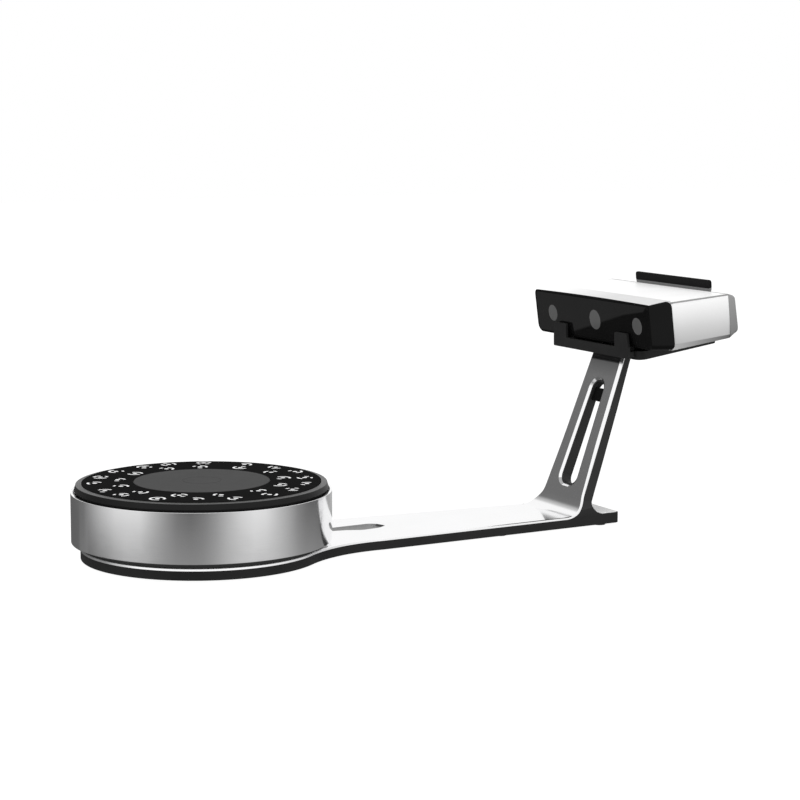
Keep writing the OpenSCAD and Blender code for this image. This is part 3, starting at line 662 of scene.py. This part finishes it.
stack = [((BX, 7.4), (BACK_X, 7.4))] + list(zip(front_pts, back_pts)) + [(fp(s, PLATE), fp(s + 3, PLATE + spine_t(s))) for s in range(24, 176, 8)]
rings = []
for f, b in stack:
    wf = half_w(*f) if f[1] > 7.5 else arm_w(f[0])
    wb = half_w(*b) if b[1] > 7.5 else arm_w(b[0])
    rings.append([(f[0], wf, f[1]), (f[0], -wf, f[1]), (b[0], -wb, b[1]), (b[0], wb, b[1])])
spine = rings_mesh(rings)
tail_plan = [(BACK_X - 0.4, arm_w(BACK_X - 0.4)), (BACK_X - 0.4, -arm_w(BACK_X - 0.4))] + [(x, -y) for x, y in tail_half] + tail_half[::-1]
tail_block = prism(tail_plan, 7.4, TAIL_TOP - 0.35, 0, 0.3, 2)
hollow = joined(moved(prism(circle(0, 0, BASE_R - 3.2, 120), 3, 9), T_TABLE), prism(rect(-110, -30, 122, 30, 2), 3, 9))
base_cut = [above_pan(), slot_tool(1.6, 0.0)]
screws = []
for a in (18, 90, 150, 210, 270, 342):
    r = 93 - (4 if a in (18, 342) else 0)
    x, y = TX + r * math.cos(rad(a)), r * math.sin(rad(a))
    screws.append(prism(circle(x, y, 3.2, 28), 0.5, 3.6))
base = piece("base_look", prism(plan, FOOT, BASE_TOP, 0.7, 0.0), "base", [M["black_body"], M["spine_black"]], replaces="base_frame", where=lambda c, n: 1 if c.z > ZT + 5 and c.x > 150 else 0,
             add=[spine, tail_block], cut=base_cut + [joined(*screws)], sharp=28)

tp = [(BACK_X, arm_w(BACK_X) - 0.9), (BACK_X, -arm_w(BACK_X) + 0.9)] + [(x - 0.9, -y + 0.9) for x, y in tail_half] + [(x - 0.9, y - 0.9) for x, y in tail_half[::-1]]
tail = piece("tail_cover_look", prism(tp, 9.2, TAIL_TOP, 0.0, 0.3, 2), "base", [M["head_silver"], M["cut_edge"]], replaces="tail_cover",
             where=lambda c, n: 0 if n.z > 0.97 else 1)

# ---------- turntable ----------
drum_prof = [(101.5, DRUM_Z0, 0.2), (DRUM_R, DRUM_Z0, 0.5), (DRUM_R, DRUM_Z1 - 0.14, 0.1), (DRUM_R - 0.3, DRUM_Z1, 0.1), (DRUM_R - 1.9, DRUM_Z1, 0.1), (DRUM_R - 1.9, DRUM_Z1 - 3, 0.1),
             (DRUM_R - 3.5, DRUM_Z1 - 5, 0.1), (DRUM_R - 3.5, DRUM_Z0 + 7, 0.1), (DRUM_R - 7, DRUM_Z0 + 5, 0.1), (DRUM_R - 7, DRUM_Z0 + 3.05, 0.1), (DRUM_R - 3.5, DRUM_Z0 + 3.05, 0.1)]
drum = piece("drum_look", moved(lathe(soften(drum_prof), 360), T_TABLE), "base", [M["drum_aluminium"], M["cut_edge"]], replaces="drum_ring",
             where=lambda c, n: 1 if c.z > DRUM_Z1 - 0.62 and n.z > 0.95 else 0)

plat_prof = [(0, 56.1), (60, 56.1, 0.1), (60, 56.7, 0.1), (99.2, 56.7, 0.1), (99.2, 53.2, 0.1), (101.0, 53.2, 0.1), (101.0, 56.7, 0.1), (102.3, 56.7, 0.4), (100.95, 61.3, 0.25), (96.4, 61.8, 0.15), (0, 61.8)]
platter = piece("platter_look", moved(lathe(soften(plat_prof), 360), T_TABLE), "platter", [M["black_platter"], M["platter_bevel"]], replaces="platter",
                where=lambda c, n: 1 if n.z > 0.9 else 0)
disc = piece("marker_disc_look", moved(lathe(soften([(54.9, 61.8), (96.2, 61.8, 0.1), (96.2, 62.4, 0.2), (54.9, 62.4, 0.1)]), 240), T_TABLE), "platter", M["marker_film"],
             replaces="marker_disc")
pad_prof = [(0, 61.8), (54.65, 61.8, 0.1), (54.65, 62.7, 0.45), (16.3, 62.7, 0.15), (16.1, 62.5, 0.05), (15.3, 62.5, 0.05), (15.1, 62.7, 0.15), (0, 62.7)]
pad = piece("centre_pad_look", moved(lathe(soften(pad_prof), 240), T_TABLE), "platter", M["pad_rubber"], replaces="centre_pad")

# generic coded marks: a dot in a broken ring
rng = random.Random(11)
marks = []


def sector(cx, cy, r0, r1, a0, a1):
    n = max(3, int((a1 - a0) / 9))
    return arc(cx, cy, r1, a0, a1, n) + arc(cx, cy, r0, a1, a0, n)


for ring_r, count, phase in ((85.2, 18, 4.0), (67.4, 13, 11.0)):
    for k in range(count):
        a = rad(phase + 360 * k / count + rng.uniform(-2.5, 2.5))
        rr = ring_r + rng.uniform(-1.6, 1.6)
        cx, cy = rr * math.cos(a), rr * math.sin(a)
        turn = rng.uniform(0, 360)
        bits = [rng.random() < 0.48 for _ in range(9)]
        if sum(bits) < 3:
            bits[0] = bits[1] = bits[4] = True
        marks.append(prism(circle(cx, cy, 1.95, 20), 62.35, 62.44))
        i = 0
        while i < 9:
            if bits[i]:
                j = i
                while j + 1 < 9 and bits[j + 1]:
                    j += 1
                marks.append(prism(sector(cx, cy, 4.7, 6.6, turn + 40 * i + 1, turn + 40 * (j + 1) - 1), 62.35, 62.44))
                i = j
            i += 1
mk = piece("coded_marks", moved(joined(*marks), T_TABLE), "platter", M["mark_white"])

riser = piece("riser_look", moved(lathe(soften([(84, ZT), (96, ZT, 0.1), (96, DRUM_Z0, 0.1), (84, DRUM_Z0, 0.1)], 0.1), 240), T_TABLE), "base", M["black_inner"], replaces="riser_ring")

# ---------- cradle ----------
def pan_top(x):
    """Height of the tray's top over the cradle's underside"""
    return (11.5 + FLOOR_Z - x * math.sin(rad(PAN_TILT))) / math.cos(rad(PAN_TILT))


B = 6.06
th = arc(10, 58, 8, 180, 90 - B, 10) + [(86.5, 58 + 8 / math.cos(rad(B)) - 76.5 * math.tan(rad(B)))]
tray_plan = th[::-1] + [(x, -y) for x, y in th]
tray_v, tray_f = prism(tray_plan, 0, 10.0, 1.1, 0.25, 3)
tray_v = [(x, y, z if z < 5 else z - 10.0 + pan_top(x)) for x, y, z in tray_v]


def pocket(*corners):
    return moved(prism(fillet([(x, y, 2) for x, y in corners], 4), 3.0, 20), T_PAN)


u_plate = fillet([(-60.5, -9.3, 1.2), (60.5, -9.3, 1.2), (60.2, 0.5, 12), (58.0, 12.3, 2.0), (39.2, 12.3, 2.0), (39.2, -0.4, 1.0), (-39.2, -0.4, 1.0), (-39.2, 12.3, 2.0), (-58.0, 12.3, 2.0), (-60.2, 0.5, 12)], 5)
T_PLATE = T_HD @ Matrix.Translation((-4.4, 0, 12.3)) @ Matrix.Rotation(rad(2.5), 4, "Y") @ Matrix.Translation((0, 0, -12.3))
front_plate = moved(along_x(prism(u_plate, 0, 2.7, 0.5, 0.3, 2)), T_PLATE)
front_bar = moved(along_x(prism(rect(-58.6, -8.8, 58.6, -3.7, 0.6), -3.3, 6)), T_HD)
back_plate = moved(along_x(prism(fillet([(-53.6, -6.4, 0.8), (53.6, -6.4, 0.8), (53.6, 44, 3), (-53.6, 44, 3)], 6), 86.4, 88.3, 0.0, 0.4, 2)), T_HD)
rail = moved(along_x(prism(fillet([(-57.6, 40.5, 1.6), (57.6, 40.5, 1.6), (57.6, 48, 2.4), (-57.6, 48, 2.4)], 8), 84.4, 86.7, 0.4, 0.3, 3)), T_HD)
rail_lip = moved(along_x(prism(fillet([(-57.2, 37.4, 3.0), (57.2, 37.4, 3.0), (57.2, 43, 1), (-57.2, 43, 1)], 8), 84.6, 86.6)), T_HD)
hd_inv = T_HD.inverted()
hd_rot = hd_inv.to_3x3()


def cradle_face(c, n):
    q, m = hd_inv @ c, hd_rot @ n
    # index 1: the rail's lower band and underside, painted grey as the lid's reflection; index 2: the rest of the
    # black rail
    if q.z > 36 and q.x > 84.2 and m.x < 0.5:
        return 1 if q.z < 41 and (m.z < -0.3 or q.x > 84.5) else 2
    return 0


cradle = piece("cradle_look", moved((tray_v, tray_f), T_PAN), "base", [M["black_body"], M["rail_painted_reflection"], M["rail_black"]], replaces="cradle", add=[front_bar, front_plate, back_plate, rail_lip, rail],
               where=cradle_face, cut=[pocket((7, -34.5), (80, -34.5), (80, 34.5), (7, 34.5)), pocket((7, 37.5), (80, 37.5), (80, 54.1), (7, 61.8)), pocket((7, -61.8), (80, -54.1), (80, -37.5), (7, -37.5)),
                    moved(along_x(prism(rect(-49, 2, 49, 32, 4, 6), 80, 95)), T_HD)], sharp=28)

# small clip across the slot, its top left open
clip_plan = fillet([(-9.2, 101.7, 0.5), (9.2, 101.7, 0.5), (9.0, 113.3, 0.5), (-9.0, 113.3, 0.5)], 3)
clip = piece("cable_clip_look", moved(joined(moved(prism(clip_plan, 4.4, 9.3, 0.3, 0.0, 2), Matrix(((0, 0, 1, 0), (1, 0, 0, 0), (0, 1, 0, 0), (0, 0, 0, 1)))),
             moved(prism(rect(-8.9, 103, 8.9, 113, 0.8), 9.45, 10.9, 0.0, 0.4, 2), Matrix(((0, 0, 1, 0), (1, 0, 0, 0), (0, 1, 0, 0), (0, 0, 0, 1))))), T_UP), "base", M["clip_black"],
             replaces="cable_clip")

# ---------- head ----------
FL = math.tan(rad(FRONT_LEAN))


def module_ring(f, g=0.0, dx=0.0):
    """Outline of the front module at f of its depth, g smaller all round, dx further in"""
    w = 90.7 + 1.2 * f - g - (0.3 if f > 0.999 else 0)
    lo = 0.3 - 2.3 * f / 0.9 if f < 0.9 else -2.0 + 1.6 * (1 - math.sqrt(max(0, 1 - ((f - 0.9) / 0.1) ** 2)))
    k = min(1, max(0, (f - 0.77) / 0.23))
    hi = 39.05 + 1.15 * min(1, f / 0.77) - 5.2 * (1 - math.sqrt(max(0, 1 - k * k)))
    lo, hi = lo + g, hi - g
    o = arc(-w + 5, lo + 5, 5, 180, 270, 8) + arc(w - 7, lo + 7, 7, 270, 360, 8) + arc(w - 4, hi - 4, 4, 0, 90, 6)
    o += [(y, hi + 0.75 * (1 - f) * crown(y)) for y in range(80, -81, -16)] + arc(-w + 1.6, hi - 1.6, 1.6, 90, 180, 6)
    o = [(y + 3.0 * (1 - 0.5 * f) * max(0, y - 60) / 31, z) for y, z in o]
    return [((-FL * z) + f * (22.5 - 0.045 * z + FL * z) + dx, y, z) for y, z in o]


rings = [module_ring(0, 0.6 * (1 - math.sin(rad(a))), 0.6 * (1 - math.cos(rad(a)))) for a in (0, 30, 60, 90)]
rings += [module_ring(f) for f in (0.2, 0.4, 0.6, 0.77, 0.81, 0.85, 0.89, 0.92, 0.95, 0.975, 0.99, 1.0)]
bezel = piece("head_bezel_look", moved(rings_mesh(rings), T_HD), "head", M["gloss_black"], replaces="head_bezel",
              cut=[moved(along_x(prism(rect(-HW + 1.65, 2.0, HW + 0.95, 37.5, 3.4, 8), -3, 2.2)), T_FRONT), moved(along_x(prism(rect(-HW + 4, 5, HW - 4, 33.6, 2), 1.5, 40)), T_HD),
                   moved(prism(rect(-1.6, -HW + 0.55, 30, HW + 20), 38.0, 60), T_HD)],
              sharp=30)
glass = piece("front_window_look", moved(along_x(prism(rect(-HW + 1.75, 2.1, HW + 0.85, 37.4, 3.3, 8), 0.0, 2.0, 0.25, 0.0, 2)), T_FRONT), "head", M["dark_glass"], replaces="front_window",
              cut=[moved(along_x(joined(*[prism(circle(y + EYE_DY, EYE_Z, r, 56), -1, 4) for y, r in ((-EYE_Y, 7.4), (-1.9, 8.8), (EYE_Y, 7.4))])), T_FRONT)])
for nm, node, ys, r in (("window_side_look", "window_side", (-EYE_Y, EYE_Y), 7.36), ("window_middle_look", "window_middle", (-1.9,), 8.76)):
    piece(nm, moved(along_x(joined(*[prism(circle(y + EYE_DY, EYE_Z, r, 56), 0.02, 1.6, 0.08, 0.0, 1) for y in ys])), T_FRONT), "head", M["window_glass"], replaces=node)


# shell: an open trough with gently curved sides and a soft lower edge
def trough(f):
    x0 = 22.7 + 58.6 * f
    zb, zc, zt = -3.0 + 3.4 * f, 2.4 + 1.6 * f, 37.15 + 1.0 * f
    side = [(HW, zt), (HW, 30), (HW - 0.05, 25), (HW - 0.18, 20), (HW - 0.42, 15), (HW - 0.78, 10)]
    low = fillet([(HW - 0.78, 10, 0), (HW - 1.3, zc, 1.6), (HW - 4.0, zb, 1.4), (0, zb, 0)], 6)[1:-1]
    half = side + low
    out = [(-y, z) for y, z in half] + half[::-1]
    inner = [(HW - 2.2, zt), (HW - 2.2, 6.5), (HW - 5.2, 2.6)]
    out += inner + [(-y, z) for y, z in inner[::-1]]
    return [(x0 - 0.045 * z, y, z) for y, z in out]


holes = [prism(circle(50, 0, 5.1, 32), -5, 4)] + [prism(circle(x, y, 3.0, 28), -5, 0.9) for x in (30, 72) for y in (-74, 74)]


def shell_face(c, n):
    m = hd_rot @ n
    return 1 if m.z < -0.35 else 0


shell = piece("head_shell_look", moved(rings_mesh([trough(k / 6) for k in range(7)]), T_HD), "head", [M["head_shell"], M["head_under"]], replaces="head_shell",
              cut=[moved(joined(*holes), T_HD)], sharp=40, where=shell_face)


# lid: slightly crowned, its long edges bevelled; a sloping strip over the front module
def lid_ring(y):
    d = max(0.0, abs(y) - (HW - 1.0))
    c = 0.85 * crown(y, 89.7)
    pts = [(20.95, 37.2)]
    for k in range(9):
        f = k / 8
        top = 39.15 + 0.25 * f + c * (1 - 0.9 * f)
        x = 20.9 + 58.45 * f
        pts.append((x - (0.25 if k == 8 else 0), top - d * (1.4 - 0.4 * f) - (0.25 if k in (0, 8) else 0)))
    pts.append((79.4, 38.2))
    return [(x, y, z) for x, z in pts]


ys = [-HW, -HW + 1.0, -80, -64, -48, -32, -16, 0, 16, 32, 48, 64, 80, HW - 1.0, HW]


def strip_ring(y):
    c = 0.75 * crown(y) - 0.09 * max(0, y - 89.5) ** 2
    d = 0.09 * max(0, y - 89.5) ** 2
    return [(-1.5, y, 38.05), (-1.56, y, 39.05 + c), (-1.35, y, 39.2 + c), (20.3, y, 40.3 - d), (20.8, y, 40.2 - d), (20.8, y, 38.05)]


lid = piece("head_lid_look", moved(rings_mesh([lid_ring(y) for y in ys]), T_HD), "head", M["head_white"], replaces="head_lid", sharp=25,
            cut=[moved(prism(rect(25, -HW + 3, 76, HW - 3, 2), 35, 38.0), T_HD)])
strip = piece("lid_strip", moved(rings_mesh([strip_ring(y) for y in [-HW + 0.7, -80, -64, -48, -32, -16, 0, 16, 32, 48, 64, 80, 89.5, 90.5, 91.5, 92.3]]), T_HD), "head", M["strip_silver"],
              sharp=25)
# the grey seam along the lid's long edges
seam = piece("lid_seam", moved(joined(*[rings_mesh([[(22.7 - 0.045 * 38, y, 37.75), (22.7 - 0.045 * 38, y, 38.95), (80.0, y, 39.25), (80.1, y, 38.0)] for y in (s0 * 89.75, s0 * 90.82)]) for s0 in (-1, 1)]), T_HD), "head",
             M["seam_grey"])

cap_rings = []
for x, zb, zt, w in ((81.35, 0.55, 39.4, 90.7), (83, 1.5, 39.05, 90.68), (85, 2.8, 38.5, 90.6), (86.8, 3.6, 37.9, 90.5), (88.6, 4.3, 37.2, 90.3), (89.7, 4.9, 36.4, 90.0), (90.2, 5.7, 35.4, 89.5)):
    cap_rings.append([(x - 0.05 * z - 0.025 * max(0, x - 83) / 7 * z, y, z) for y, z in fillet([(-w, zb, 4.5), (w, zb, 4.5), (w, zt, 2.4), (-w, zt, 2.4)], 8)])
vents = [along_x(prism(rect(-13 + 4.2 * i, 8, -10.8 + 4.2 * i, 30, 1.05, 4), 76, 92)) for i in range(7)]
ports = [along_x(prism(circle(-30, 16, 4.05, 32), 76, 92)), along_x(prism(rect(24.2, 11.8, 34.2, 20.2, 0.8), 76, 92)), along_x(prism(rect(38.8, 11.8, 48.8, 20.2, 0.8), 76, 92)),
         along_x(prism(circle(-74, 19, 4.35, 40), 76, 92))]
cap = piece("rear_cap_look", moved(rings_mesh(cap_rings), T_HD), "head", M["head_grey"], replaces="rear_cap",
            cut=[moved(prism(rect(84.2, -58.6, 95, 58.6, 0), -2, 60), T_HD), moved(joined(*vents, *ports), T_HD), moved(prism(rect(76, -HW + 3, 82.4, HW - 3), 5, 34), T_HD)], sharp=30)

button = piece("power_button_look", moved(along_x(joined(prism(circle(-74, 19, 4.0, 48), 81.6, 89.0, 0, 0.5, 3), prism(circle(-74, 19, 5.2, 40), 81.4, 82.2))), T_HD), "power_button", M["head_silver"],
               replaces="power_button")

# ---------- studio ----------
floor = raw("floor", ([(-6000, -6000, -0.02), (6000, -6000, -0.02), (6000, 6000, -0.02), (-6000, 6000, -0.02)], [(0, 1, 2, 3)]))
fm = bpy.data.materials.new("floor_paper")
nt, b = nodes_of(fm)
b.inputs["Base Color"].default_value = (0.12, 0.12, 0.12, 1)
b.inputs["Roughness"].default_value = 0.9
b.inputs["Specular IOR Level"].default_value = 0.0
b.inputs["Emission Color"].default_value = (1, 1, 1, 1)
b.inputs["Emission Strength"].default_value = 0.96
floor.data.materials.append(fm)
floor.visible_glossy = False

AZ, PIT, ROLL = rad(27.63), rad(7.73), rad(0.15)
F = Vector((math.sin(AZ) * math.cos(PIT), math.cos(AZ) * math.cos(PIT), -math.sin(PIT)))
R = Vector((math.cos(AZ), -math.sin(AZ), 0))
U = R.cross(F)
R2 = R * math.cos(ROLL) + U * math.sin(ROLL)
U2 = -R * math.sin(ROLL) + U * math.cos(ROLL)
cam_data = bpy.data.cameras.new("camera")
cam_data.lens = 99.2
cam_data.sensor_width = 36
cam_data.clip_start = 0.05
cam = bpy.data.objects.new("camera", cam_data)
bpy.context.scene.collection.objects.link(cam)
mw = Matrix((R2, U2, -F)).transposed().to_4x4()
mw.translation = Vector((-0.84853, -1.62528, 0.36593))
cam.matrix_world = mw
bpy.context.scene.camera = cam

world = bpy.data.worlds.new("studio")
bpy.context.scene.world = world
world.use_nodes = True
wt = world.node_tree
wt.nodes.clear()
out = N(wt, "ShaderNodeOutputWorld")
tc = N(wt, "ShaderNodeTexCoord")


def wmath(op, a, b=None, c=None, clamp=False):
    n = N(wt, "ShaderNodeMath", operation=op)
    n.use_clamp = clamp
    for i, v in enumerate((a, b, c)):
        if v is None:
            continue
        if isinstance(v, (int, float)):
            n.inputs[i].default_value = v
        else:
            wt.links.new(v, n.inputs[i])
    return n.outputs[0]


def wdot(v):
    n = N(wt, "ShaderNodeVectorMath", operation="DOT_PRODUCT")
    wt.links.new(tc.outputs["Generated"], n.inputs[0])
    n.inputs[1].default_value = v
    return n.outputs["Value"]


def wstep(x, lo, hi):
    n = N(wt, "ShaderNodeMapRange", interpolation_type="SMOOTHSTEP")
    n.inputs["From Min"].default_value = lo
    n.inputs["From Max"].default_value = hi
    wt.links.new(x, n.inputs["Value"])
    return n.outputs["Result"]


def wramp(x, stops, kind="EASE"):
    n = N(wt, "ShaderNodeValToRGB")
    n.color_ramp.interpolation = kind
    el = n.color_ramp.elements
    while len(el) > 1:
        el.remove(el[-1])
    el[0].position = (stops[0][0] + 180) / 360
    el[0].color = (*grey(stops[0][1]), 1)
    for p, v in stops[1:]:
        e = el.new((p + 180) / 360)
        e.color = (*grey(v), 1)
    wt.links.new(x, n.inputs["Fac"])
    return n.outputs["Color"]


def wmix(fac, a, b):
    n = N(wt, "ShaderNodeMix", data_type="RGBA")
    wt.links.new(fac, n.inputs["Factor"])
    for k, v in (("A", a), ("B", b)):
        if isinstance(v, (int, float)):
            n.inputs[k].default_value = (v, v, v, 1)
        else:
            wt.links.new(v, n.inputs[k])
    return n.outputs["Result"]


# directions round the object: 0 towards the camera's place at the front, + to its right
front = (-math.sin(AZ), -math.cos(AZ), 0)
right = (math.cos(AZ), -math.sin(AZ), 0)
az = wmath("ARCTAN2", wdot(right), wdot(front))
azf = wmath("MULTIPLY_ADD", az, 0.5 / pi, 0.5)
up = wdot((0, 0, 1))
LOW = [(-180, 0.13), (-151, 0.115), (-135, 0.13), (-120, 0.17), (-104, 0.45), (-88, 0.77), (-76, 0.97), (-62, 1.0), (-50, 1.0), (-38, 0.62), (-27, 0.34), (-16.6, 0.13), (-5, 0.065), (6, 0.125),
       (17, 0.26), (28, 0.52), (40, 0.81), (51, 0.97), (62, 0.92), (74, 0.59), (86, 0.37), (97, 0.19), (110, 0.10), (131, 0.085), (146, 0.34), (165, 0.5), (180, 0.5)]
HIGH = [(-180, 1.0), (-158, 1.0), (-146, 0.45), (-134, 0.17), (-116, 0.15), (-100, 0.2), (-80, 0.55), (-55, 1.0), (40, 1.0), (70, 0.9), (110, 0.7), (150, 1.0), (180, 1.0)]
LOWER = [(-180, 0.12), (-90, 0.12), (-60, 0.3), (0, 0.3), (40, 0.5), (70, 0.5), (110, 0.3), (180, 0.15)]
bands = wmix(wstep(up, -0.02, 0.06), wramp(azf, LOW, "LINEAR"), wramp(azf, HIGH))
# a dark panel low on the far left, whose straight edge is mirrored across the head's front
def mirrored(y, z):
    """Direction in which the camera's ray leaves a point of the front glass"""
    n = T_FRONT.to_3x3() @ Vector((-1, 0, 0))
    d = (T_FRONT @ Vector((0, y, z)) * MM - cam.location).normalized()
    return (d - 2 * d.dot(n) * n).normalized()


edge_n = mirrored(33.0, 5.6).cross(mirrored(-88.5, 37.5)).normalized()
if edge_n.dot(mirrored(60, 36)) < 0:
    edge_n = -edge_n
panel = wmath("MULTIPLY_ADD", wstep(wdot(edge_n), -0.0006, 0.0006), 0.155, 0.035)
left = wmath("MULTIPLY", wstep(wdot(mirrored(0, 20)), 0.985, 0.993), 1.0)
lower = wmix(left, wramp(azf, LOWER), panel)
bands = wmix(wstep(up, -0.17, -0.215), bands, lower)
bands = wmix(wstep(up, -0.42, -0.6), bands, 0.12)
bands = wmix(wstep(up, 0.45, 0.8), bands, 1.0)
soft = wmath("MULTIPLY_ADD", up, 0.28, 0.86)
lp = N(wt, "ShaderNodeLightPath")
seen = wmix(lp.outputs["Is Glossy Ray"], soft, bands)
seen = wmix(lp.outputs["Is Camera Ray"], seen, 1.0)
bg = N(wt, "ShaderNodeBackground")
wt.links.new(seen, bg.inputs["Color"])
wt.links.new(bg.outputs[0], out.inputs["Surface"])

key = bpy.data.lights.new("key", "AREA")
key.shape, key.size, key.size_y, key.energy = "RECTANGLE", 1.6, 1.2, 9.0
key_ob = bpy.data.objects.new("key", key)
bpy.context.scene.collection.objects.link(key_ob)
key_ob.location = (-0.5, -0.9, 1.7)
key_ob.rotation_euler = (Vector((0.05, 0, 0.1)) - key_ob.location).to_track_quat("-Z", "Y").to_euler()
key_ob.visible_glossy = False

bpy.context.scene.view_settings.view_transform = "Standard"
bpy.context.scene.view_settings.look = "None"
